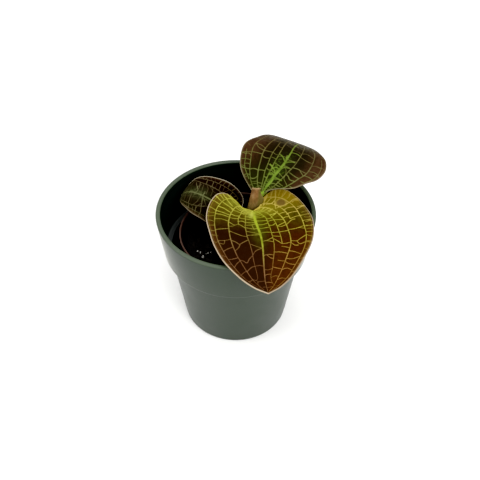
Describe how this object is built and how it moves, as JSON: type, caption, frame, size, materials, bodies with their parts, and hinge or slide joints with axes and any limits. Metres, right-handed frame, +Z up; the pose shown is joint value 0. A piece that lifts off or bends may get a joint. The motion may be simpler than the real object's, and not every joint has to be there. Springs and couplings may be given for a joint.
{
  "type": "potted jewel orchid",
  "caption": "Young jewel orchid with heart-shaped, net-veined leaves, rooted in a thin inner pot inside a taller round nursery pot with a wide rim band.",
  "frame": {"origin": "centre of the nursery pot's base, on the surface it stands on", "axes": "+Z up through the pot's axis; the largest leaf reaches forward along -Y"},
  "size_m": [0.1065, 0.1215, 0.1187],
  "materials": {
    "nursery_pot": "satin",
    "inner_pot": "matte",
    "potting_mix": "matte",
    "stem": "satin",
    "dried_sheath": "matte",
    "front_leaf": "satin",
    "back_leaf": "satin",
    "left_leaf": "satin"
  },
  "bodies": {
    "root": {"pot": "nursery_pot", "inner_pot": "inner_pot", "soil": "potting_mix", "stem": "stem", "sheath": "dried_sheath", "leaf_front": "front_leaf", "leaf_back": "back_leaf", "leaf_left": "left_leaf"}
  },
  "joints": []
}
